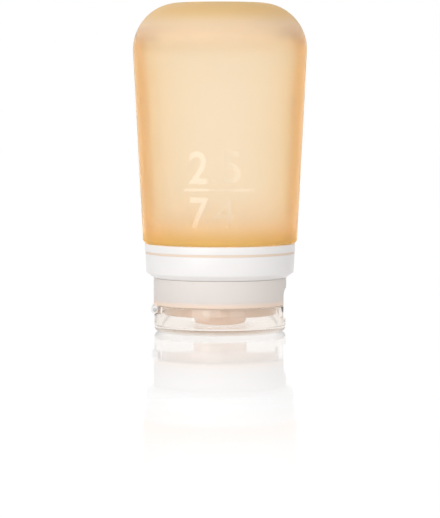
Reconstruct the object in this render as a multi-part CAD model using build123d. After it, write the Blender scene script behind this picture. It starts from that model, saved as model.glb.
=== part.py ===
from build123d import *

import math
import os

# A travel squeeze bottle, standing upside down on its flip-top screw cap. Sizes are in millimetres.
# The origin is the centre of the closed lid's underside, +Z runs up through the cap to the bottle's
# closed end, the lid's hinge is on the -X side and its thumb ledge is on the +X side.

# Flip lid: a shallow clear cup under the cap
lid_inset = 0.15
lid_wall = 1.75
lid_floor = 1.4
lid_height = 7.05
lid_heel_round = 1.6
lid_rim_round = 0.25
seal_ring_overlap = 0.4
seal_ring_wall = 0.8
seal_ring_gap = 0.3
stopper_radius = 2.2
stopper_gap = 0.5

# Thumb scoop, cut through the rim of the lid and the foot of the cap
scoop_depth = 0.85
scoop_sill = 3.3
scoop_straight = 6.5
scoop_runout = 3.0

# Lid hinge: a knuckle on the lid between two ears on the cap
knuckle_radius = 1.0
knuckle_proud = 0.75
knuckle_width = 6.0
ear_width = 2.4
hinge_side_gap = 0.2
ear_notch_gap = 0.2
pin_radius = 0.5
pin_clearance = 0.05
hinge_relief = 0.75

# Screw cap: skirt, stepped shoulder, spigot inside the lid, deck and nozzle. Its radius sets the lid's
# radius outside it, and the radii of the neck, mouth, collar and bottle that screw into it.
cap_radius = 17.6
skirt_wall = 1.5
skirt_height = 7.0
skirt_edge_round = 0.3
parting_gap = 0.15
shoulder_step = 1.4
spigot_gap = 0.25
spigot_depth = 2.65
spigot_wall = 1.85
deck_thickness = 1.1
nozzle_radius = 7.15
nozzle_taper = 0.25
nozzle_bore_radius = 5.3
nozzle_tip_gap = 0.15

# Slit valve in the nozzle, and the ring that holds it
valve_seat_step = 0.6
valve_flange_width = 1.85
valve_flange = 0.8
valve_bore_gap = 0.15
valve_sleeve_wall = 0.75
valve_lip_recess = 0.7
valve_skin = 0.7
valve_dish = 0.6
slit_length = 6.0
slit_width = 0.12
retainer_height = 0.7
retainer_boss_wall = 1.1
retainer_boss_proud = 0.15

# Gasket on the deck, under the neck's end
gasket_thickness = 1.4
gasket_width = 2.2
gasket_edge_gap = 0.2

# Neck that clamps the silicone mouth: a pilot inside the spigot, then the wider tube for the thread
pilot_gap = 0.35
pilot_wall = 1.75
pilot_step_gap = 0.8
neck_gap = 1.2
neck_wall = 2.0
thread_height = 0.8
neck_flange = 1.5
neck_flange_gap = 0.05
barb_wall = 2.6
barb_length = 5.8

# White collar and clamp ring, with the silicone showing in the groove between them
cap_collar_gap = 0.2
mouth_wall = 2.8
collar_taper = 0.25
collar_wall = 1.5
collar_height = 6.3
collar_chamfer = 1.35
collar_foot_overhang = 0.1
collar_lip = 1.5
collar_lip_gap = 0.2
collar_edge_round = 0.3
groove_height = 0.6
groove_depth = 0.4
ring_proud = 0.15
ring_height = 2.1
ring_edge_round = 0.35

# Silicone bottle
body_height = 63.4
body_foot_overhang = 0.6
body_flare = 3.22
body_top_round = 12.4
body_foot_round = 1.2
body_wall = 2.9
body_end_wall = 3.0
body_end_dish = 0.8
body_end_land = 1.5
body_end_dish_slope = 2.2
body_throat_rise = 3.6
body_throat_round = 5.0

# Heights, from the lid's underside up
cap_foot = lid_height + parting_gap
spigot_foot = cap_foot - spigot_depth
deck_top = spigot_foot + deck_thickness
shoulder_top = cap_foot + shoulder_step
cap_top = cap_foot + skirt_height
nozzle_tip = lid_floor + nozzle_tip_gap
valve_seat = spigot_foot + valve_seat_step
valve_flange_top = valve_seat + valve_flange
valve_lip = nozzle_tip + valve_lip_recess
retainer_top = valve_flange_top + retainer_height
retainer_boss_top = retainer_top + retainer_boss_proud
neck_end = deck_top + gasket_thickness
pilot_top = shoulder_top + pilot_step_gap
collar_foot = cap_top + cap_collar_gap
collar_lip_top = collar_foot + collar_lip
collar_top = collar_foot + collar_height
mouth_rim = collar_lip_top + neck_flange
ring_foot = collar_top + groove_height
body_foot = ring_foot + ring_height
body_top = body_foot + body_height

# Radii and places that follow from the sizes above
lid_radius = cap_radius - lid_inset
lid_bore_radius = lid_radius - lid_wall
spigot_radius = lid_bore_radius - spigot_gap
spigot_bore_radius = spigot_radius - spigot_wall
skirt_bore_radius = cap_radius - skirt_wall
seal_ring_radius = nozzle_bore_radius - seal_ring_gap
valve_sleeve_radius = nozzle_bore_radius - valve_bore_gap
valve_bore_radius = valve_sleeve_radius - valve_sleeve_wall
valve_flange_radius = valve_sleeve_radius + valve_flange_width
pilot_radius = spigot_bore_radius - pilot_gap
neck_radius = skirt_bore_radius - neck_gap
neck_bore_radius = neck_radius - neck_wall
barb_radius = neck_bore_radius + barb_wall
collar_bore_radius = barb_radius + mouth_wall
collar_radius = collar_bore_radius + collar_wall
ring_radius = collar_radius + ring_proud
body_foot_radius = collar_radius + body_foot_overhang
body_top_radius = body_foot_radius + body_flare
hinge_x = -(lid_radius + knuckle_proud - knuckle_radius)
hinge_z = lid_height - knuckle_radius
ear_start = knuckle_width / 2 + hinge_side_gap
ear_end = ear_start + ear_width
scoop_face = cap_radius - scoop_depth


def turned(*corners):
    """A solid of revolution about Z. Each corner of its closed outline is (radius, height[, fillet])."""
    points = [(corner[0], 0, corner[1]) for corner in corners]
    fillets = [corner[2] if len(corner) > 2 else 0 for corner in corners]
    outline = FilletPolyline(*points, radius=fillets, close=True)
    return revolve(make_face(outline.edges()), Axis.Z)


def block(x0, x1, y0, y1, z0, z1):
    """A box between two corners."""
    return Pos((x0 + x1) / 2, (y0 + y1) / 2, (z0 + z1) / 2) * Box(x1 - x0, y1 - y0, z1 - z0)


def hinge_rod(radius, y0, y1):
    """A round bar on the lid's hinge axis, from y0 to y1."""
    return Pos(hinge_x, (y0 + y1) / 2, hinge_z) * Rot(90, 0, 0) * Cylinder(radius, y1 - y0)


def thumb_scoop():
    """The cutter for the flat finger recess, whose top runs out of the skirt in a curve."""
    top = scoop_sill + scoop_straight
    reach = cap_radius + scoop_runout
    half_chord = cap_radius
    with BuildSketch(Plane.XZ) as side:
        with BuildLine():
            Line((scoop_face, top), (scoop_face, scoop_sill))
            Line((scoop_face, scoop_sill), (reach, scoop_sill))
            Line((reach, scoop_sill), (reach, top + scoop_runout))
            Line((reach, top + scoop_runout), (scoop_face + scoop_runout, top + scoop_runout))
            RadiusArc((scoop_face + scoop_runout, top + scoop_runout), (scoop_face, top), -scoop_runout)
        make_face()
    return extrude(side.sketch, amount=half_chord, both=True)


def make_lid():
    """Clear cup with a seal ring in the nozzle's mouth, a stopper under the valve and a hinge knuckle."""
    ring_bore = seal_ring_radius - seal_ring_wall
    ring_top = nozzle_tip + seal_ring_overlap
    stopper_top = valve_lip + valve_dish - stopper_gap
    cup = turned(
        (0, 0),
        (lid_radius, 0, lid_heel_round),
        (lid_radius, lid_height, lid_rim_round),
        (lid_bore_radius, lid_height),
        (lid_bore_radius, lid_floor, lid_wall / 3),
        (seal_ring_radius, lid_floor),
        (seal_ring_radius, ring_top),
        (ring_bore, ring_top),
        (ring_bore, lid_floor),
        (stopper_radius, lid_floor),
        (stopper_radius, stopper_top),
        (0, stopper_top),
    )
    knuckle = hinge_rod(knuckle_radius, -knuckle_width / 2, knuckle_width / 2)
    notch_floor = hinge_z - knuckle_radius - ear_notch_gap
    notch_start = hinge_x - 2 * knuckle_radius
    lid = cup + knuckle
    for side in (-1, 1):
        near = side * (ear_start - hinge_side_gap)
        far = side * (ear_end + hinge_side_gap)
        lid -= block(notch_start, -spigot_bore_radius, min(near, far), max(near, far), notch_floor, cap_foot)
    lid -= hinge_rod(pin_radius + pin_clearance, -knuckle_width, knuckle_width)
    return lid - thumb_scoop()


def make_cap():
    """Frosted cap: skirt, shoulder, spigot, deck, nozzle with its valve seat, and two hinge ears."""
    boss_radius = valve_flange_radius + retainer_boss_wall
    shell = turned(
        (skirt_bore_radius, cap_top),
        (cap_radius, cap_top, skirt_edge_round),
        (cap_radius, cap_foot, skirt_edge_round),
        (spigot_radius, cap_foot),
        (spigot_radius, spigot_foot, skirt_edge_round),
        (nozzle_radius, spigot_foot),
        (nozzle_radius - nozzle_taper, nozzle_tip, skirt_edge_round),
        (nozzle_bore_radius, nozzle_tip),
        (nozzle_bore_radius, valve_seat),
        (valve_flange_radius, valve_seat),
        (valve_flange_radius, retainer_boss_top),
        (boss_radius, retainer_boss_top),
        (boss_radius, deck_top),
        (spigot_bore_radius, deck_top),
        (spigot_bore_radius, shoulder_top),
        (skirt_bore_radius, shoulder_top),
    )
    relief_face = -(spigot_radius - hinge_relief)
    relief_half = ear_end
    cap = shell - block(-lid_bore_radius, relief_face, -relief_half, relief_half, spigot_foot, cap_foot)
    for side in (-1, 1):
        low, high = sorted((side * ear_start, side * ear_end))
        ear = hinge_rod(knuckle_radius, low, high)
        ear += block(hinge_x, relief_face, low, high, hinge_z, cap_foot + shoulder_step / 2)
        cap += ear
    cap -= hinge_rod(pin_radius, -ear_end, ear_end)
    return cap - thumb_scoop()


def make_pin():
    """Hinge pin, pressed into both ears."""
    return hinge_rod(pin_radius, -ear_end, ear_end)


def make_valve():
    """Silicone valve: a clamped flange, a sleeve down the nozzle and a dished skin with a cross slit."""
    dish_top = valve_lip + valve_dish
    valve = turned(
        (0, dish_top),
        (valve_bore_radius - valve_dish, valve_lip + valve_dish / 2),
        (valve_bore_radius, valve_lip),
        (valve_sleeve_radius, valve_lip),
        (valve_sleeve_radius, valve_seat),
        (valve_flange_radius, valve_seat),
        (valve_flange_radius, valve_flange_top),
        (valve_bore_radius, valve_flange_top),
        (valve_bore_radius, valve_lip + valve_skin + valve_dish / 2),
        (0, dish_top + valve_skin),
    )
    for turn in (0, 90):
        slit = block(-slit_length / 2, slit_length / 2, -slit_width / 2, slit_width / 2, nozzle_tip, valve_seat)
        valve -= Rot(0, 0, turn) * slit
    return valve


def make_retainer():
    """Hard ring that snaps into the boss over the valve's flange."""
    return turned(
        (valve_bore_radius, valve_flange_top),
        (valve_flange_radius, valve_flange_top),
        (valve_flange_radius, retainer_top),
        (valve_bore_radius + retainer_height / 2, retainer_top),
        (valve_bore_radius, valve_flange_top + retainer_height / 2),
    )


def make_gasket():
    """Flat sealing ring on the deck, under the neck's end."""
    edge = spigot_bore_radius - gasket_edge_gap
    return turned(
        (edge - gasket_width, deck_top),
        (edge, deck_top),
        (edge, neck_end),
        (edge - gasket_width, neck_end),
    )


def make_neck():
    """Rigid neck: a pilot, a tube for the thread, a clamping flange, and a tube up inside the mouth."""
    flange_radius = collar_bore_radius - neck_flange_gap
    tube_top = mouth_rim + barb_length
    pilot_bore = pilot_radius - pilot_wall
    return turned(
        (neck_bore_radius, pilot_top + neck_wall),
        (pilot_bore, pilot_top),
        (pilot_bore, neck_end),
        (pilot_radius, neck_end),
        (pilot_radius, pilot_top),
        (neck_radius, pilot_top),
        (neck_radius, collar_lip_top),
        (flange_radius, collar_lip_top),
        (flange_radius, mouth_rim),
        (barb_radius, mouth_rim),
        (barb_radius, tube_top, barb_wall / 3),
        (neck_bore_radius, tube_top),
    )


def make_collar():
    """White collar with a chamfered foot, a tapered band and a lip under the neck's flange."""
    lip_radius = neck_radius + thread_height + collar_lip_gap
    return turned(
        (lip_radius, collar_foot),
        (cap_radius + collar_foot_overhang, collar_foot),
        (collar_radius - collar_taper, collar_foot + collar_chamfer, collar_edge_round),
        (collar_radius, collar_top, collar_edge_round),
        (collar_bore_radius, collar_top),
        (collar_bore_radius, collar_lip_top),
        (lip_radius, collar_lip_top),
    )


def make_ring():
    """Thin white ring that clamps the mouth just under the bottle's shoulder."""
    return turned(
        (collar_bore_radius, ring_foot),
        (ring_radius, ring_foot, ring_edge_round),
        (ring_radius, body_foot, ring_edge_round),
        (collar_bore_radius, body_foot),
    )


def make_bottle():
    """Thick silicone bottle: a necked mouth with a bead in the groove, tapered sides and a dished end."""
    bead_radius = collar_radius - groove_depth
    side_slope = math.atan2(body_flare, body_height)
    flat_edge_radius = body_top_radius - body_top_round / math.tan((math.pi / 2 - side_slope) / 2)
    dish_radius = flat_edge_radius - body_end_land
    end_inside = body_top - body_end_wall
    side_inset = body_wall / math.cos(side_slope)
    inner_top_radius = body_top_radius - body_end_wall * math.tan(side_slope) - side_inset
    throat_foot = mouth_rim + barb_length
    throat_top = throat_foot + body_throat_rise
    throat_radius = body_foot_radius + (throat_top - body_foot) * math.tan(side_slope) - side_inset
    return turned(
        (barb_radius, mouth_rim),
        (collar_bore_radius, mouth_rim),
        (collar_bore_radius, collar_top),
        (bead_radius, collar_top),
        (bead_radius, ring_foot),
        (collar_bore_radius, ring_foot),
        (collar_bore_radius, body_foot),
        (body_foot_radius, body_foot, body_foot_round),
        (body_top_radius, body_top, body_top_round),
        (dish_radius, body_top, body_end_dish),
        (dish_radius - body_end_dish_slope, body_top - body_end_dish, body_end_dish),
        (0, body_top - body_end_dish),
        (0, end_inside),
        (inner_top_radius, end_inside, body_top_round - body_wall),
        (throat_radius, throat_top, body_throat_round),
        (barb_radius, throat_foot, barb_wall / 2),
    )


PIECES = {
    "flip_lid": make_lid,
    "hinge_pin": make_pin,
    "cap_base": make_cap,
    "dispensing_valve": make_valve,
    "valve_retainer": make_retainer,
    "cap_gasket": make_gasket,
    "neck_insert": make_neck,
    "collar": make_collar,
    "collar_ring": make_ring,
    "silicone_bottle": make_bottle,
}

os.makedirs("parts", exist_ok=True)
for name, make in PIECES.items():
    export_step(make(), f"parts/{name}.step")
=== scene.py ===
import math

import bpy
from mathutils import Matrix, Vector


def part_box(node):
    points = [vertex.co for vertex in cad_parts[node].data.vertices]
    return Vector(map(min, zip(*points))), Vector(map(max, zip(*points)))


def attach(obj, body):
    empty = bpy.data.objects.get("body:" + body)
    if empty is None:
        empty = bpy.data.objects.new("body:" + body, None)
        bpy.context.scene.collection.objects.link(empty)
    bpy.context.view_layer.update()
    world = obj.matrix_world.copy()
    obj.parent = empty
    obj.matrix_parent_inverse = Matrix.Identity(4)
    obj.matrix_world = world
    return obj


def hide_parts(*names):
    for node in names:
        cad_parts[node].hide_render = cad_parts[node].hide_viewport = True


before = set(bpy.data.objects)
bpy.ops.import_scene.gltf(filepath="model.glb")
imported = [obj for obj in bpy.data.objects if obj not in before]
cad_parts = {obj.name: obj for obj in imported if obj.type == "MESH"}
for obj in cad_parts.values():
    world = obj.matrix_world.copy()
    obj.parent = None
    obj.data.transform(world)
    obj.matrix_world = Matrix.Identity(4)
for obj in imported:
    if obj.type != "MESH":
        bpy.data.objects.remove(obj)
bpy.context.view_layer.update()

# Lengths are written in millimetres and handed to Blender in metres
MM = 0.001

# Sides of a turned piece and of a round bar, and the distance under which two points are taken as one
SIDES = 192
BAR_SIDES = 64
TINY = 0.002

# Rounded corners: length of one facet, and the fewest and most facets of a corner
FACET = 0.25
FEWEST_FACETS = 3
MOST_FACETS = 24

# Faces that turn by more than this meet in a crease
CREASE = math.radians(30)

# Rounds that the small edges share
edge_sharp = 0.05
edge_crisp = 0.1
edge_neat = 0.12
edge_fine = 0.15
edge_soft = 0.2
edge_full = 0.3

# How far a cutting block reaches past what it cuts
cut_margin = 1


def corners_of(node):
    """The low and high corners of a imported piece, in millimetres."""
    return [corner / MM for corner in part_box(node)]


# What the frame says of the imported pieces
bottle_high = corners_of("silicone_bottle")[1]
ring_low, ring_high = corners_of("collar_ring")
collar_low, collar_high = corners_of("collar")
neck_low, neck_high = corners_of("neck_insert")
gasket_low, gasket_high = corners_of("cap_gasket")
retainer_low, retainer_high = corners_of("valve_retainer")
valve_low, valve_high = corners_of("dispensing_valve")
cap_low, cap_high = corners_of("cap_base")
lid_low, lid_high = corners_of("flip_lid")

# Flip lid, which its hinge knuckle stands proud of
knuckle_proud = 0.75
lid_radius = -(lid_low.x + knuckle_proud)
lid_wall = 1.75
lid_floor = 1.4
lid_heel_round = 1.6
lid_rim_round = 0.25
seal_ring_radius = 5.0
seal_ring_bore = 4.2
seal_ring_overlap = 0.4
stopper_radius = 2.2
stopper_gap = 0.5

# Thumb scoop through the lid's rim and the cap's foot
scoop_depth = 0.85
scoop_sill = 3.3
scoop_top = 9.8
scoop_runout = 3.0

# Lid hinge
knuckle_radius = 1.0
knuckle_width = 6.0
ear_start = 3.2
ear_end = 5.6
ear_root = 0.7
notch_gap = 0.2
pin_radius = 0.5
pin_clearance = 0.05
hinge_x = lid_low.x + knuckle_radius
hinge_z = lid_high.z - knuckle_radius

# Screw cap. Its skirt is drawn a little higher than the solid's, halfway into the gap under the collar.
parting_gap = 0.15
skirt_wall = 1.5
skirt_raise = 0.1
shoulder_step = 1.4
spigot_gap = 0.25
spigot_wall = 1.85
spigot_depth = 2.65
cap_radius = cap_high.x
cap_foot = lid_high.z + parting_gap
skirt_top = cap_high.z + skirt_raise
skirt_bore = cap_radius - skirt_wall
shoulder_top = cap_foot + shoulder_step
spigot_radius = lid_radius - lid_wall - spigot_gap
spigot_bore = spigot_radius - spigot_wall
spigot_foot = cap_foot - spigot_depth
deck_top = gasket_low.z
nozzle_tip = cap_low.z
nozzle_radius = 7.15
nozzle_taper = 0.25
nozzle_bore = 5.3
boss_wall = 1.1
boss_proud = 0.15
boss_top = retainer_high.z + boss_proud
hinge_relief = 0.75

# Slit valve
valve_bore = 4.4
valve_sleeve = 5.15
valve_flange = valve_high.x
valve_flange_height = 0.8
valve_seat = retainer_low.z - valve_flange_height
valve_lip = valve_low.z
valve_dish = 0.6
valve_skin = 0.7
valve_skin_round = 0.5
slit_length = 6.0
slit_width = 0.12

# Gasket on the deck
gasket_width = 2.2

# Neck
pilot_gap = 0.35
pilot_wall = 1.75
pilot_step = 0.8
pilot_round = 0.25
pilot_radius = spigot_bore - pilot_gap
pilot_bore = pilot_radius - pilot_wall
pilot_top = shoulder_top + pilot_step
neck_radius = 14.9
neck_bore = 12.9
neck_wall = 2.0
barb_wall = 2.6

# Coarse thread on the neck, and its mate in the skirt, whose helix runs half a pitch lower
thread_pitch = 4.0
thread_root_width = 1.5
thread_crest_width = 0.7
thread_root_sink = 0.1
thread_steps = 96
thread_fade_steps = 8
neck_thread_height = 0.75
neck_thread_start = 10.4
neck_thread_turns = 1.1
cap_thread_height = 0.9
cap_thread_start = 9.5
cap_thread_turns = 0.95
cap_thread_angle = 2 * math.pi * (cap_thread_start - (neck_thread_start - thread_pitch / 2)) / thread_pitch

# Collar and clamp ring
mouth_radius = 18.3
mouth_rim = 17.4
collar_lip = 1.5
collar_lip_top = collar_low.z + collar_lip
collar_lip_bore = 15.9
collar_foot_overhang = 0.1
collar_foot_radius = cap_radius + collar_foot_overhang
collar_chamfer = 1.35
ring_proud = 0.15
ring_edge_round = 0.35
collar_taper = 0.25

# Silicone bottle
body_foot_overhang = 0.45
body_flare = 3.21
body_top_round = 12.4
body_foot_round = 1.2
body_wall = 2.9
body_end_wall = 3.0
body_end_land = 1.5
body_end_dish = 0.8
body_end_dish_slope = 2.2
throat_foot = neck_high.z
throat_rise = 3.6
throat_round = 5.0
groove_depth = 0.2
body_foot_radius = ring_high.x + body_foot_overhang

# Raised numerals on the bottle's side: a slab of each is cut to a thin shell of the side
numeral_proud = 0.1
numeral_root = 0.3
numeral_bolder = 0.012
slab_depth = 8
bar_outward = 2
bar_inward = 4
shell_spare = 2

# Left, right, foot and top of each numeral and of the bar between them
numerals = {
    "2": (-7.95, -3.1, 39.8, 48.1),
    ".": (-2.0, -0.95, 39.8, 40.85),
    "5": (0.5, 5.3, 39.8, 48.1),
    "7": (-7.7, -3.0, 28.1, 36.2),
    "4": (-1.6, 3.6, 28.1, 36.2),
}
numeral_bar = (-9.2, 9.2, 37.8, 38.5)

# Heights of rings on the bottle's side, which keep the faces round the numerals small
side_rings = (51.0, 49.0, 43.9, 39.1, 37.2, 32.2, 27.0)


def deselect():
    """Nothing is selected, in object mode."""
    bpy.ops.object.select_all(action="DESELECT")


def activate(piece):
    """Makes one piece the only one selected, and the active one."""
    deselect()
    piece.select_set(True)
    bpy.context.view_layer.objects.active = piece


def select_mesh(test):
    """In edit mode, selects the vertices where test(point in mm) holds."""
    bpy.ops.mesh.select_mode(type="VERT")
    bpy.ops.mesh.select_all(action="DESELECT")
    bpy.ops.object.mode_set(mode="OBJECT")
    for vertex in bpy.context.object.data.vertices:
        vertex.select = test(vertex.co / MM)
    bpy.ops.object.mode_set(mode="EDIT")


def ring_at(radius, height):
    """A test for the ring of vertices at one radius and height."""
    return lambda p: abs(math.hypot(p.x, p.y) - radius) < TINY and abs(p.z - height) < TINY


def grow_ring(old, new):
    """Extrudes the selected ring of a turned piece to its next radius and height."""
    bpy.ops.mesh.extrude_edges_move(TRANSFORM_OT_translate={"value": (0, 0, (new[1] - old[1]) * MM)})
    share = new[0] / old[0]
    bpy.ops.transform.resize(value=(share, share, 1), center_override=(0, 0, new[1] * MM))


def round_corner(before, corner, after):
    """Rounds one ring of a turned piece to its fillet radius."""
    radius, height, fillet = corner
    into = Vector((radius - before[0], height - before[1]))
    out = Vector((after[0] - radius, after[1] - height))
    turn = into.angle(out)
    select_mesh(ring_at(radius, height))
    steps = max(FEWEST_FACETS, min(MOST_FACETS, round(fillet * turn / FACET)))
    bpy.ops.mesh.bevel(offset_type="OFFSET", offset=fillet * math.tan(turn / 2) * MM, segments=steps,
                       profile=0.5, affect="EDGES", clamp_overlap=False)


def soften(piece):
    """Smooth faces, with creases where they turn sharply."""
    activate(piece)
    bpy.ops.object.shade_smooth_by_angle(angle=CREASE)


def turned(name, *corners):
    """A piece turned about the bottle's axis from a closed outline of (radius, height[, fillet])."""
    deselect()
    on_axis = corners[0][0] == 0
    start = corners[1] if on_axis else corners[0]
    bpy.ops.mesh.primitive_circle_add(vertices=SIDES, radius=start[0] * MM, location=(0, 0, start[1] * MM))
    piece = bpy.context.object
    piece.name = piece.data.name = name
    bpy.ops.object.transform_apply(location=True, rotation=True, scale=True)
    bpy.ops.object.mode_set(mode="EDIT")
    bpy.ops.mesh.select_all(action="SELECT")
    last = start
    for corner in corners[2:] if on_axis else corners[1:] + corners[:1]:
        grow_ring(last, corner)
        last = corner
    if on_axis:
        select_mesh(ring_at(*start[:2]))
        grow_ring(start, corners[0])
    bpy.ops.mesh.select_all(action="SELECT")
    bpy.ops.mesh.remove_doubles(threshold=TINY * MM)
    for index, corner in enumerate(corners):
        if len(corner) > 2:
            round_corner(corners[index - 1], corner, corners[(index + 1) % len(corners)])
    bpy.ops.mesh.select_all(action="SELECT")
    bpy.ops.mesh.normals_make_consistent(inside=False)
    bpy.ops.object.mode_set(mode="OBJECT")
    soften(piece)
    return piece


def block(low, high):
    """A box between two corners."""
    deselect()
    low, high = Vector(low) * MM, Vector(high) * MM
    bpy.ops.mesh.primitive_cube_add(size=1, location=(low + high) / 2)
    box = bpy.context.object
    box.scale = high - low
    bpy.ops.object.transform_apply(location=True, rotation=True, scale=True)
    return box


def rod(radius, y0, y1, x, z, edge=0, sides=BAR_SIDES):
    """A round bar along Y, with its end edges rounded."""
    deselect()
    bpy.ops.mesh.primitive_cylinder_add(vertices=sides, radius=radius * MM, depth=(y1 - y0) * MM,
                                        location=Vector((x, (y0 + y1) / 2, z)) * MM,
                                        rotation=(math.pi / 2, 0, 0))
    bar = bpy.context.object
    bpy.ops.object.transform_apply(location=True, rotation=True, scale=True)
    if edge:
        for end in (y0, y1):
            bpy.ops.object.mode_set(mode="EDIT")
            select_mesh(lambda p: abs(p.y - end) < TINY)
            bpy.ops.mesh.bevel(offset_type="OFFSET", offset=edge * MM, segments=FEWEST_FACETS,
                               affect="EDGES")
            bpy.ops.object.mode_set(mode="OBJECT")
    return bar


def hinge_rod(radius, y0, y1, edge=0):
    """A round bar on the lid's hinge axis."""
    return rod(radius, y0, y1, hinge_x, hinge_z, edge)


def combine(piece, tool, operation):
    """Joins, cuts or crosses a piece with a helper mesh, which is then taken away."""
    activate(piece)
    change = piece.modifiers.new(operation.lower(), "BOOLEAN")
    change.operation = operation
    change.object = tool
    change.solver = "EXACT"
    bpy.ops.object.modifier_apply(modifier=change.name)
    bpy.data.objects.remove(tool, do_unlink=True)


def cut(piece, tool):
    combine(piece, tool, "DIFFERENCE")


def join(piece, tool):
    combine(piece, tool, "UNION")


def cut_scoop(piece):
    """Cuts the flat finger recess, whose top runs out in a curve."""
    face = cap_radius - scoop_depth
    cut(piece, block((face, -cap_radius, scoop_sill), (cap_radius + cut_margin, cap_radius, scoop_top)))
    cut(piece, rod(scoop_runout, -cap_radius, cap_radius, face + scoop_runout, scoop_top,
                   sides=2 * BAR_SIDES))


def thread_ridge(root, crest, start_height, start_angle, turns):
    """A trapezoid ridge on a right-hand helix about the bottle's axis, fading out at both ends."""
    deselect()
    bpy.ops.mesh.primitive_plane_add(size=1, location=((root + crest) / 2 * MM, 0, start_height * MM),
                                     rotation=(math.pi / 2, 0, 0))
    ridge = bpy.context.object
    ridge.scale = (abs(crest - root) * MM, thread_root_width * MM, 1)
    bpy.ops.object.transform_apply(location=True, rotation=True, scale=True)
    bpy.ops.object.mode_set(mode="EDIT")
    select_mesh(lambda p: abs(p.x - crest) < TINY)
    bpy.ops.transform.resize(value=(1, 1, thread_crest_width / thread_root_width),
                             center_override=(crest * MM, 0, start_height * MM))
    bpy.ops.object.mode_set(mode="OBJECT")
    ridge.rotation_euler.z = start_angle
    bpy.ops.object.transform_apply(location=True, rotation=True, scale=True)
    steps = round(thread_steps * turns)
    screw = ridge.modifiers.new("helix", "SCREW")
    screw.angle = 2 * math.pi * turns
    screw.screw_offset = thread_pitch * turns * MM
    screw.steps = screw.render_steps = steps
    bpy.ops.object.modifier_apply(modifier=screw.name)
    bpy.ops.object.mode_set(mode="EDIT")
    fade = thread_fade_steps
    near_aim, near_crest = 0.02, 0.1
    for step in list(range(fade)) + [steps - k for k in range(fade)]:
        angle = start_angle + 2 * math.pi * turns * step / steps
        height = start_height + thread_pitch * turns * step / steps
        level = min(step, steps - step) / fade
        aim = Vector((math.cos(angle), math.sin(angle)))
        select_mesh(lambda p: abs(p.z - height) < thread_root_width
                    and (p.xy / crest - aim).length < near_aim
                    and abs(p.xy.length - crest) < near_crest)
        share = (root + (crest - root) * level) / crest
        bpy.ops.transform.resize(value=(share, share, 1), center_override=(0, 0, 0))
    bpy.ops.mesh.select_all(action="SELECT")
    bpy.ops.mesh.fill_holes(sides=4)
    bpy.ops.mesh.normals_make_consistent(inside=False)
    bpy.ops.object.mode_set(mode="OBJECT")
    return ridge


def cone_radius(height):
    """The radius of the bottle's tapered side."""
    return body_foot_radius + (height - ring_high.z) * body_flare / (bottle_high.z - ring_high.z)


def numeral_slab(character, box):
    """One character as a slab that stands across the bottle's front wall."""
    left, right, foot, top = box
    letter_tiny = 0.0001
    deselect()
    bpy.ops.object.text_add()
    bpy.context.object.data.body = character
    bpy.context.object.data.extrude = 0.5
    # The 4's enclosed triangle ends too finely to be offset, so that figure keeps its own strokes
    bpy.context.object.data.offset = 0 if character == "4" else numeral_bolder
    bpy.ops.object.convert(target="MESH")
    slab = bpy.context.object
    bpy.ops.object.mode_set(mode="EDIT")
    bpy.ops.mesh.select_all(action="SELECT")
    bpy.ops.mesh.remove_doubles(threshold=letter_tiny)
    bpy.ops.mesh.normals_make_consistent(inside=False)
    bpy.ops.object.mode_set(mode="OBJECT")
    xs = [vertex.co.x for vertex in slab.data.vertices]
    ys = [vertex.co.y for vertex in slab.data.vertices]
    wide = (right - left) / (max(xs) - min(xs))
    tall = (top - foot) / (max(ys) - min(ys))
    slab.scale = Vector((wide, tall, slab_depth)) * MM
    slab.rotation_euler.x = math.pi / 2
    slab.location = Vector((left - min(xs) * wide, -cone_radius(foot), foot - min(ys) * tall)) * MM
    bpy.ops.object.transform_apply(location=True, rotation=True, scale=True)
    return slab


def numeral_shell():
    """A thin conical shell, from inside the bottle's wall to just proud of it."""
    foot, top = numerals["7"][2] - shell_spare, numerals["2"][3] + shell_spare
    return turned(
        "numeral_shell",
        (cone_radius(foot) - numeral_root, foot),
        (cone_radius(foot) + numeral_proud, foot),
        (cone_radius(top) + numeral_proud, top),
        (cone_radius(top) - numeral_root, top),
    )


def make_bottle():
    """Thick silicone bottle with its real inner wall, and raised numerals on its side."""
    foot = ring_high.z
    top = bottle_high.z
    slope = math.atan2(body_flare, top - foot)
    top_radius = body_foot_radius + body_flare
    flat_edge = top_radius - body_top_round / math.tan((math.pi / 2 - slope) / 2)
    dish = flat_edge - body_end_land
    inset = body_wall / math.cos(slope)
    inner_top = top_radius - body_end_wall * math.tan(slope) - inset
    throat_top = throat_foot + throat_rise
    throat_radius = cone_radius(throat_top) - inset
    barb = neck_bore + barb_wall
    bead = ring_high.x - groove_depth
    bottle = turned(
        "silicone_bottle_body",
        (0, top - body_end_dish),
        (dish - body_end_dish_slope, top - body_end_dish, body_end_dish),
        (dish, top, body_end_dish),
        (top_radius, top, body_top_round),
        *((cone_radius(height), height) for height in side_rings),
        (body_foot_radius, foot, body_foot_round),
        (mouth_radius, foot),
        (mouth_radius, ring_low.z),
        (bead, ring_low.z),
        (bead, collar_high.z),
        (mouth_radius, collar_high.z),
        (mouth_radius, mouth_rim),
        (barb, mouth_rim),
        (barb, throat_foot, barb_wall / 2),
        (throat_radius, throat_top, throat_round),
        (inner_top, top - body_end_wall, body_top_round - body_wall),
        (0, top - body_end_wall),
    )
    slabs = [numeral_slab(character, box) for character, box in numerals.items()]
    left, right, low, high = numeral_bar
    face = -cone_radius(low)
    slabs.append(block((left, face - bar_outward, low), (right, bar_inward + face, high)))
    for slab in slabs:
        combine(slab, numeral_shell(), "INTERSECT")
        join(bottle, slab)
    soften(bottle)
    return bottle


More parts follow.
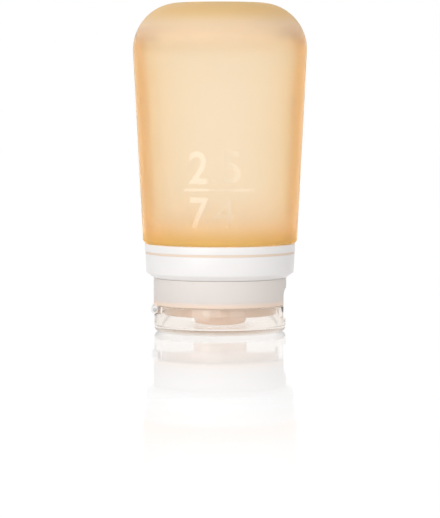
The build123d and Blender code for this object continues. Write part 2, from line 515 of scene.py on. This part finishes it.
def make_collar():
    """White collar with a chamfered foot, a tapered band and a lip under the neck's flange."""
    band = ring_high.x - ring_proud
    return turned(
        "white_collar",
        (collar_lip_bore, collar_low.z, edge_fine),
        (collar_foot_radius, collar_low.z, edge_crisp),
        (band - collar_taper, collar_low.z + collar_chamfer, edge_full),
        (band, collar_high.z, edge_neat),
        (mouth_radius, collar_high.z),
        (mouth_radius, collar_lip_top),
        (collar_lip_bore, collar_lip_top, edge_fine),
    )


def make_ring():
    """Thin white ring that clamps the mouth under the bottle's shoulder."""
    return turned(
        "white_clamp_ring",
        (mouth_radius, ring_low.z),
        (ring_high.x, ring_low.z, edge_neat),
        (ring_high.x, ring_high.z, ring_edge_round),
        (mouth_radius, ring_high.z),
    )


def make_neck():
    """Milky neck: pilot, threaded tube, clamping flange and the tube up inside the mouth."""
    barb = neck_bore + barb_wall
    neck = turned(
        "threaded_neck",
        (neck_bore, pilot_top + neck_wall),
        (pilot_bore, pilot_top),
        (pilot_bore, neck_low.z, edge_fine),
        (pilot_radius, neck_low.z, edge_soft),
        (pilot_radius, pilot_top),
        (neck_radius, pilot_top, pilot_round),
        (neck_radius, collar_lip_top),
        (neck_high.x, collar_lip_top),
        (neck_high.x, mouth_rim),
        (barb, mouth_rim),
        (barb, neck_high.z, barb_wall / 3),
        (neck_bore, neck_high.z, edge_full),
    )
    join(neck, thread_ridge(neck_radius - thread_root_sink, neck_radius + neck_thread_height,
                            neck_thread_start, 0, neck_thread_turns))
    soften(neck)
    return neck


def make_cap():
    """Frosted cap: threaded skirt, shoulder, spigot, deck, nozzle with its valve seat, and hinge ears."""
    cap = turned(
        "frosted_screw_cap",
        (skirt_bore, skirt_top, edge_soft),
        (cap_radius, skirt_top, edge_crisp),
        (cap_radius, cap_foot, edge_full),
        (spigot_radius, cap_foot, edge_crisp),
        (spigot_radius, spigot_foot, edge_full),
        (nozzle_radius, spigot_foot, edge_full),
        (nozzle_radius - nozzle_taper, nozzle_tip, edge_full),
        (nozzle_bore, nozzle_tip, edge_fine),
        (nozzle_bore, valve_seat),
        (valve_flange, valve_seat),
        (valve_flange, boss_top, edge_fine),
        (valve_flange + boss_wall, boss_top, edge_soft),
        (valve_flange + boss_wall, deck_top, edge_soft),
        (spigot_bore, deck_top, edge_soft),
        (spigot_bore, shoulder_top, edge_soft),
        (skirt_bore, shoulder_top, edge_full),
    )
    relief = -(spigot_radius - hinge_relief)
    below = spigot_foot - cut_margin
    cut(cap, block((-(lid_radius - lid_wall), -ear_end, below), (relief, ear_end, cap_foot)))
    for side in (-1, 1):
        low, high = sorted((side * ear_start, side * ear_end))
        join(cap, hinge_rod(knuckle_radius, low, high))
        join(cap, block((hinge_x, low, hinge_z), (relief, high, cap_foot + ear_root)))
    cut(cap, hinge_rod(pin_radius, -ear_end - cut_margin, ear_end + cut_margin))
    cut_scoop(cap)
    join(cap, thread_ridge(skirt_bore + thread_root_sink, skirt_bore - cap_thread_height,
                           cap_thread_start, cap_thread_angle, cap_thread_turns))
    soften(cap)
    return cap


def make_lid():
    """Clear cup with a seal ring in the nozzle's mouth, a stopper under the valve and a hinge knuckle."""
    bore = lid_radius - lid_wall
    ring_top = nozzle_tip + seal_ring_overlap
    stopper_top = valve_lip + valve_dish - stopper_gap
    lid = turned(
        "clear_flip_lid",
        (0, 0),
        (lid_radius, 0, lid_heel_round),
        (lid_radius, lid_high.z, lid_rim_round),
        (bore, lid_high.z, edge_soft),
        (bore, lid_floor, lid_wall / 3),
        (seal_ring_radius, lid_floor, edge_crisp),
        (seal_ring_radius, ring_top, edge_fine),
        (seal_ring_bore, ring_top, edge_fine),
        (seal_ring_bore, lid_floor, edge_crisp),
        (stopper_radius, lid_floor, edge_crisp),
        (stopper_radius, stopper_top, edge_soft),
        (0, stopper_top),
    )
    join(lid, hinge_rod(knuckle_radius, -knuckle_width / 2, knuckle_width / 2, edge_neat))
    notch_foot = hinge_z - knuckle_radius - notch_gap
    notch_top = cap_foot + cut_margin
    for side in (-1, 1):
        near, far = sorted((side * (ear_start - notch_gap), side * (ear_end + notch_gap)))
        cut(lid, block((hinge_x - 2 * cut_margin, near, notch_foot), (-spigot_bore, far, notch_top)))
    cut(lid, hinge_rod(pin_radius + pin_clearance, -knuckle_width, knuckle_width))
    cut_scoop(lid)
    soften(lid)
    return lid


def make_pin():
    """Steel hinge pin with rounded ends."""
    pin = hinge_rod(pin_radius, -ear_end, ear_end, edge_neat)
    pin.name = pin.data.name = "steel_hinge_pin"
    soften(pin)
    return pin


def make_valve():
    """Silicone valve: a clamped flange, a sleeve down the nozzle and a dished skin with a cross slit."""
    dish_top = valve_lip + valve_dish
    valve = turned(
        "slit_valve",
        (0, dish_top),
        (valve_bore - valve_dish, valve_lip + valve_dish / 2, valve_skin_round),
        (valve_bore, valve_lip, edge_soft),
        (valve_sleeve, valve_lip, edge_soft),
        (valve_sleeve, valve_seat),
        (valve_flange, valve_seat),
        (valve_flange, valve_high.z),
        (valve_bore, valve_high.z, edge_soft),
        (valve_bore, valve_lip + valve_skin + valve_dish / 2, edge_full),
        (0, dish_top + valve_skin),
    )
    half, thin = slit_length / 2, slit_width / 2
    cut(valve, block((-half, -thin, nozzle_tip), (half, thin, valve_seat)))
    cut(valve, block((-thin, -half, nozzle_tip), (thin, half, valve_seat)))
    soften(valve)
    return valve


def make_retainer():
    """Hard ring that snaps into the boss over the valve's flange."""
    height = retainer_high.z - retainer_low.z
    return turned(
        "valve_snap_ring",
        (valve_bore, retainer_low.z, edge_sharp),
        (valve_flange, retainer_low.z, edge_sharp),
        (valve_flange, retainer_high.z, edge_crisp),
        (valve_bore + height / 2, retainer_high.z, edge_fine),
        (valve_bore, retainer_low.z + height / 2, edge_crisp),
    )


def make_gasket():
    """Flat sealing ring with rounded edges."""
    radius, bore = gasket_high.x, gasket_high.x - gasket_width
    return turned(
        "sealing_gasket",
        (bore, gasket_low.z, edge_full),
        (radius, gasket_low.z, edge_full),
        (radius, gasket_high.z, edge_full),
        (bore, gasket_high.z, edge_full),
    )


class Wire:
    """One socket of a material. Sums on it add Math nodes."""

    def __init__(self, finish, socket):
        self.finish = finish
        self.socket = socket

    def sum(self, operation, *values):
        return self.finish.node("ShaderNodeMath", {"operation": operation}, dict(enumerate(values)))

    def __add__(self, other):
        return self.sum("ADD", self, other)

    def __sub__(self, other):
        return self.sum("SUBTRACT", self, other)

    def __rsub__(self, other):
        return self.sum("SUBTRACT", other, self)

    def __mul__(self, other):
        return self.sum("MULTIPLY", self, other)

    def __truediv__(self, other):
        return self.sum("DIVIDE", self, other)

    def most(self, other):
        return self.sum("MAXIMUM", self, other)

    def spread(self, low, high):
        """This wire's 0 to 1 spread over low to high."""
        return self * (high - low) + low

    def ramp(self, start, end, low=0.0, high=1.0):
        """A smooth step from low, where this wire is start, to high, where it is end."""
        return self.finish.node("ShaderNodeMapRange", {"interpolation_type": "SMOOTHSTEP"}, {
            "Value": self, "From Min": start, "From Max": end, "To Min": low, "To Max": high})


class Finish:
    """A material or the world, built node by node."""

    def __init__(self, owner, output="ShaderNodeOutputMaterial"):
        self.owner = owner
        owner.use_nodes = True
        self.tree = owner.node_tree
        self.tree.nodes.clear()
        self.output = self.tree.nodes.new(output)

    def node(self, kind, settings=None, inputs=None, output=0):
        """Adds a node: its settings first, then the values or links of its sockets."""
        made = self.tree.nodes.new(kind)
        for key, value in (settings or {}).items():
            setattr(made, key, value)
        for key, value in (inputs or {}).items():
            if isinstance(value, Wire):
                self.tree.links.new(value.socket, made.inputs[key])
            else:
                made.inputs[key].default_value = value
        return Wire(self, made.outputs[output])

    def surface(self, shader, volume=None):
        """Ends the finish with its shader, and with what fills the piece."""
        self.tree.links.new(shader.socket, self.output.inputs["Surface"])
        if volume:
            self.tree.links.new(volume.socket, self.output.inputs["Volume"])
        return self.owner

    def place(self):
        """Object coordinates, in metres."""
        return self.node("ShaderNodeTexCoord", output="Object")

    def grain(self, size):
        """Noise whose features are size millimetres across."""
        return self.node("ShaderNodeTexNoise", {"noise_dimensions": "3D"}, {
            "Vector": self.place(), "Scale": 1 / (size * MM), "Detail": 2.0, "Roughness": 0.5})

    def bump(self, height, depth):
        """A bump normal from a height wire, with a depth in millimetres."""
        return self.node("ShaderNodeBump", {}, {"Height": height, "Distance": depth * MM, "Strength": 1.0})

    def blend(self, factor, first, second):
        """A colour between two colours."""
        return self.node("ShaderNodeMix", {"data_type": "RGBA"},
                         {"Factor": factor, 6: first, 7: second}, output=2)

    def skin(self, inputs):
        """A Principled surface."""
        return self.node("ShaderNodeBsdfPrincipled", {}, inputs)

    def mix(self, share, first, second):
        """Two shaders, with this share of the second."""
        return self.node("ShaderNodeMixShader", {}, {0: share, 1: first, 2: second})

    def ray(self, kind):
        """1 for one kind of light path, else 0."""
        return self.node("ShaderNodeLightPath", output=f"Is {kind} Ray")

    def shown(self):
        """1 for the rays that show a thing: straight, in a mirror image or through a clear piece."""
        return self.ray("Camera").most(self.ray("Glossy").most(self.ray("Transmission")))

    def axis_distance(self):
        """Distance from the bottle's axis, in millimetres."""
        flat = self.node("ShaderNodeVectorMath", {"operation": "MULTIPLY"}, {0: self.place(), 1: (1, 1, 0)})
        return self.node("ShaderNodeVectorMath", {"operation": "LENGTH"}, {0: flat}, output="Value") / MM

    def height(self):
        """Height over the table, in millimetres."""
        return self.node("ShaderNodeSeparateXYZ", {}, {0: self.place()}, output="Z") / MM

    def dye(self, color, density):
        """Colour that deepens with the way that light goes through the piece."""
        return self.node("ShaderNodeVolumeAbsorption", {}, {"Color": color, "Density": density})


def new_finish(name):
    return Finish(bpy.data.materials.new(name))


def silicone_finish():
    """Apricot silicone: clear thin walls, a cloudy thick foot and end, and polished numerals. The cloudy
    colour is the apricot with painted shade and light by height.
    """
    finish = new_finish("apricot_silicone")
    fine = finish.grain(0.12)
    height = finish.height()
    slope = body_flare / (bottle_high.z - ring_high.z)
    side = (height - ring_high.z) * slope + body_foot_radius
    numeral = (finish.axis_distance() - side).ramp(0.03, 0.07)
    # Shares by height: the cloudy foot, three steps of the end, and the mouth inside the white rings
    foot = height.ramp(31.0, 22.5)
    near = height.ramp(bottle_high.z - 20.0, bottle_high.z - 14.0)
    end = height.ramp(bottle_high.z - 13.0, bottle_high.z - 4.4)
    tip = height.ramp(bottle_high.z - 6.5, bottle_high.z - 2.0)
    bead = height.ramp(ring_high.z + 0.1, ring_high.z - 0.1)
    polish = {
        "Coat Weight": numeral,
        "Coat Roughness": 0.12,
        "Coat IOR": 1.5,
        "Normal": finish.bump(fine, 0.004),
    }
    clear = finish.skin({
        "Base Color": finish.blend(fine, (0.96, 0.975, 0.965, 1), (0.966, 0.982, 0.978, 1)),
        "Roughness": fine.spread(0.88, 0.96) * (1 - numeral) + numeral * 0.16,
        "IOR": 1.15,
        "Transmission Weight": 1.0,
        **polish,
    })
    # Cloudy colours: the apricot's own grain, with painted shade and light by height. A deeper orange at
    # the thick foot and tip and a paler band below the end stand for how light goes through thick and thin
    # silicone.
    pale = finish.blend(finish.grain(6.0), (0.98, 0.68, 0.4, 1), (1.0, 0.7, 0.42, 1))
    top = finish.blend(tip, (1.0, 0.79, 0.53, 1), (1.0, 0.7, 0.32, 1))
    upper = finish.blend(end, finish.blend(near, pale, (1.0, 0.94, 0.79, 1)), top)
    deep = finish.blend(foot, upper, (1.0, 0.66, 0.16, 1))
    cloudy = finish.skin({
        "Base Color": finish.blend(bead, deep, (0.87, 0.71, 0.58, 1)),
        "Roughness": fine.spread(0.5, 0.6),
        "IOR": 1.3,
        **polish,
    })
    glow = finish.node("ShaderNodeBsdfTranslucent", {}, {"Color": (1.0, 0.7, 0.16, 1)})
    deeper = finish.mix(foot * (1 - bead) * 0.3, cloudy, glow)
    share = foot.spread(0.05, 0.7).most(end * 0.85).most(bead)
    return finish.surface(finish.mix(share, clear, deeper), finish.dye((0.9, 0.57, 0.07, 1), 92.0))


def white_finish():
    """White moulded plastic with a soft gloss."""
    finish = new_finish("white_plastic_gloss")
    fine = finish.grain(0.3)
    skin = finish.skin({
        "Base Color": finish.blend(finish.grain(8.0), (0.9, 0.882, 0.872, 1), (0.93, 0.912, 0.902, 1)),
        "Roughness": fine.spread(0.28, 0.36),
        "Normal": finish.bump(fine, 0.003),
    })
    return finish.surface(skin)


def frosted_finish():
    """Frosted plastic of the screw cap: translucent skirt, and an opaque deck, spigot and nozzle in a
    painted tan for the warm light seen through the lid.
    """
    finish = new_finish("frosted_plastic_cap")
    fine = finish.grain(0.1)
    height = finish.height()
    inner = height.ramp(cap_foot + 1.9, cap_foot + 0.1)
    satin = {"Roughness": fine.spread(0.36, 0.46), "Normal": finish.bump(fine, 0.003)}
    skin = finish.skin({
        "Base Color": finish.blend(finish.grain(5.0), (0.985, 0.925, 0.885, 1), (1.0, 0.94, 0.9, 1)),
        "IOR": 1.25,
        "Transmission Weight": 0.12,
        **satin,
    })
    cloudy = finish.node("ShaderNodeBsdfTranslucent", {}, {"Color": (0.99, 0.96, 0.93, 1)})
    wall = finish.mix(0.15, skin, cloudy)
    outside = finish.axis_distance().ramp(spigot_radius + 0.4, spigot_radius + 1.0)
    ears = outside * height.ramp(cap_foot + 0.1, cap_foot - 0.1)
    # The deck, spigot and nozzle take a painted tan for the warm light seen through the clear lid. The
    # hinge ears keep the plastic's own pale colour.
    core = finish.skin({
        "Base Color": finish.blend(ears, (0.95, 0.75, 0.61, 1), (0.93, 0.9, 0.88, 1)),
        "IOR": 1.45,
        **satin,
    })
    return finish.surface(finish.mix(inner, wall, core), finish.dye((0.75, 0.45, 0.1, 1), 10.0))


def clear_finish():
    """Clear plastic of the flip lid: polished, but satin on its floor and seal ring, whose tan is a painted
    reflection of the nozzle.
    """
    finish = new_finish("clear_plastic_lid")
    fine = finish.grain(0.4)
    height = finish.height()
    heel = height.ramp(lid_floor + 0.2, lid_floor - 0.4)
    inside = finish.axis_distance().ramp(seal_ring_radius + 0.2, seal_ring_radius + 0.1)
    seal = inside * height.ramp(lid_floor + 0.05, lid_floor + 0.15)
    tint = finish.blend(fine, (0.985, 0.975, 0.965, 1), (1.0, 0.99, 0.98, 1))
    # The seal ring's tan is a painted reflection of the tan nozzle in the clear floor.
    skin = finish.skin({
        "Base Color": finish.blend(seal, tint, (0.96, 0.9, 0.85, 1)),
        "Roughness": fine.spread(0.02, 0.06) + (heel * 0.4).most(seal * 0.5),
        "IOR": 1.49,
        "Transmission Weight": 1.0,
        "Normal": finish.bump(fine, 0.001),
    })
    return finish.surface(skin, finish.dye((0.6, 0.35, 0.1, 1), 48.0))


def soft_finish(name, size, shades, rough, ior, depth):
    """An even moulded finish whose shade, roughness and skin follow a fine grain."""
    finish = new_finish(name)
    fine = finish.grain(size)
    skin = finish.skin({
        "Base Color": finish.blend(fine, *shades),
        "Roughness": fine.spread(*rough),
        "IOR": ior,
        "Normal": finish.bump(fine, depth),
    })
    return finish.surface(skin)


def seal_finish():
    """Pale apricot silicone of the valve and the gasket."""
    shades = (0.9, 0.68, 0.48, 1), (0.94, 0.73, 0.53, 1)
    return soft_finish("apricot_seal", 0.15, shades, (0.45, 0.55), 1.41, 0.004)


def neck_finish():
    """Milky natural plastic of the neck and the valve's snap ring."""
    shades = (0.92, 0.89, 0.86, 1), (0.95, 0.92, 0.89, 1)
    return soft_finish("milky_plastic_neck", 0.2, shades, (0.4, 0.5), 1.49, 0.003)


def steel_finish():
    """Drawn steel wire of the hinge pin."""
    finish = new_finish("drawn_steel_pin")
    stretched = finish.node("ShaderNodeMapping", {}, {"Vector": finish.place(), "Scale": (1.0, 0.05, 1.0)})
    drawn = finish.node("ShaderNodeTexNoise", {}, {
        "Vector": stretched, "Scale": 1 / (0.06 * MM), "Detail": 2.0})
    skin = finish.skin({
        "Base Color": finish.blend(drawn, (0.45, 0.45, 0.46, 1), (0.58, 0.58, 0.59, 1)),
        "Metallic": 1.0,
        "Roughness": drawn.spread(0.4, 0.6),
        "Normal": finish.bump(drawn, 0.002),
    })
    return finish.surface(skin)


# Pieces: each stands for its node, rides its body and takes its slot's finish
white = white_finish()
seal = seal_finish()
milky = neck_finish()
for make, node, body, slot, material in (
    (make_bottle, "silicone_bottle", "bottle", "bottle_silicone", silicone_finish()),
    (make_neck, "neck_insert", "bottle", "neck_plastic", milky),
    (make_collar, "collar", "bottle", "white_plastic", white),
    (make_ring, "collar_ring", "bottle", "white_plastic", white),
    (make_gasket, "cap_gasket", "gasket", "seal_silicone", seal),
    (make_cap, "cap_base", "cap", "frosted_plastic", frosted_finish()),
    (make_valve, "dispensing_valve", "cap", "seal_silicone", seal),
    (make_retainer, "valve_retainer", "cap", "neck_plastic", milky),
    (make_pin, "hinge_pin", "cap", "pin_steel", steel_finish()),
    (make_lid, "flip_lid", "lid", "clear_plastic", clear_finish()),
):
    piece = make()
    piece.data.materials.clear()
    piece.data.materials.append(material)
    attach(piece, body)
    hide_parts(node)

# Table: white, with the bottle's shadow and its mirror image, which fades away from the bottle
table_reach = 4000
table_white = 0.85
table_glow = 1.08
glow_lighting = 0.25
glow_shown = 0.87
mirror_strong = 0.5
mirror_start = 17
mirror_end = 290


def table_finish():
    """White that glows where it is shown, over matt white that keeps the shadow, with a faint mirror."""
    finish = new_finish("white_table")
    mirror_share = finish.axis_distance().ramp(mirror_start, mirror_end, mirror_strong, 0.0)
    glow = finish.node("ShaderNodeEmission", {}, {"Color": (1, 1, 1, 1), "Strength": table_glow})
    matt = finish.node("ShaderNodeBsdfDiffuse", {}, {"Color": (table_white, table_white, table_white, 1)})
    mirror = finish.node("ShaderNodeBsdfGlossy", {}, {"Color": (1, 1, 1, 1), "Roughness": 0.05})
    base = finish.mix(finish.shown().spread(glow_lighting, glow_shown), matt, glow)
    return finish.surface(finish.mix(mirror_share * finish.ray("Camera"), base, mirror))


deselect()
bpy.ops.mesh.primitive_plane_add(size=table_reach * MM, location=(0, 0, 0))
table = bpy.context.object
table.name = "white_table_top"
table.data.materials.append(table_finish())

# World: white where it is seen, a plain level where it lights
world_level = 0.585
bpy.context.scene.world = bpy.data.worlds.new("studio")
studio = Finish(bpy.context.scene.world, "ShaderNodeOutputWorld")
studio.surface(studio.node("ShaderNodeBackground", {}, {
    "Color": (1, 1, 1, 1), "Strength": studio.shown().spread(world_level, 1.0)}))


def lamp(name, place, target, size, radiance):
    """A soft lamp aimed at a point. Its size is width by height, in millimetres."""
    light = bpy.data.lights.new(name, "AREA")
    light.shape = "RECTANGLE"
    light.size, light.size_y = size[0] * MM, size[1] * MM
    light.energy = radiance * math.pi * light.size * light.size_y
    holder = bpy.data.objects.new(name, light)
    bpy.context.scene.collection.objects.link(holder)
    holder.location = Vector(place) * MM
    aim = Vector(target) * MM - holder.location
    holder.rotation_euler = aim.to_track_quat("-Z", "Y").to_euler()


middle = (0, 0, 40)
lower_part = (0, 0, 30)
lamp("left_softbox", (-200, -780, 300), middle, (500, 500), 2.05)
lamp("back_softbox", (-250, 500, 420), middle, (500, 500), 0.6)
lamp("low_strip", (-110, -170, 30), lower_part, (110, 56), 2.6)
lamp("low_fill", (105, -190, 30), lower_part, (90, 56), 1.3)

# Camera at the photograph's place, in millimetres
camera_place = (0, -689, 63.3)
camera_aim = (0, 0, 19.1)
camera_data = bpy.data.cameras.new("camera")
camera = bpy.data.objects.new("camera", camera_data)
bpy.context.scene.collection.objects.link(camera)
bpy.context.scene.camera = camera
camera_data.sensor_width = 36
camera_data.lens = 180.8
camera_data.clip_start = 0.01
camera_data.clip_end = 20
camera.location = Vector(camera_place) * MM
look = Vector(camera_aim) * MM - camera.location
camera.rotation_euler = look.to_track_quat("-Z", "Y").to_euler()

bpy.context.scene.view_settings.view_transform = "Standard"
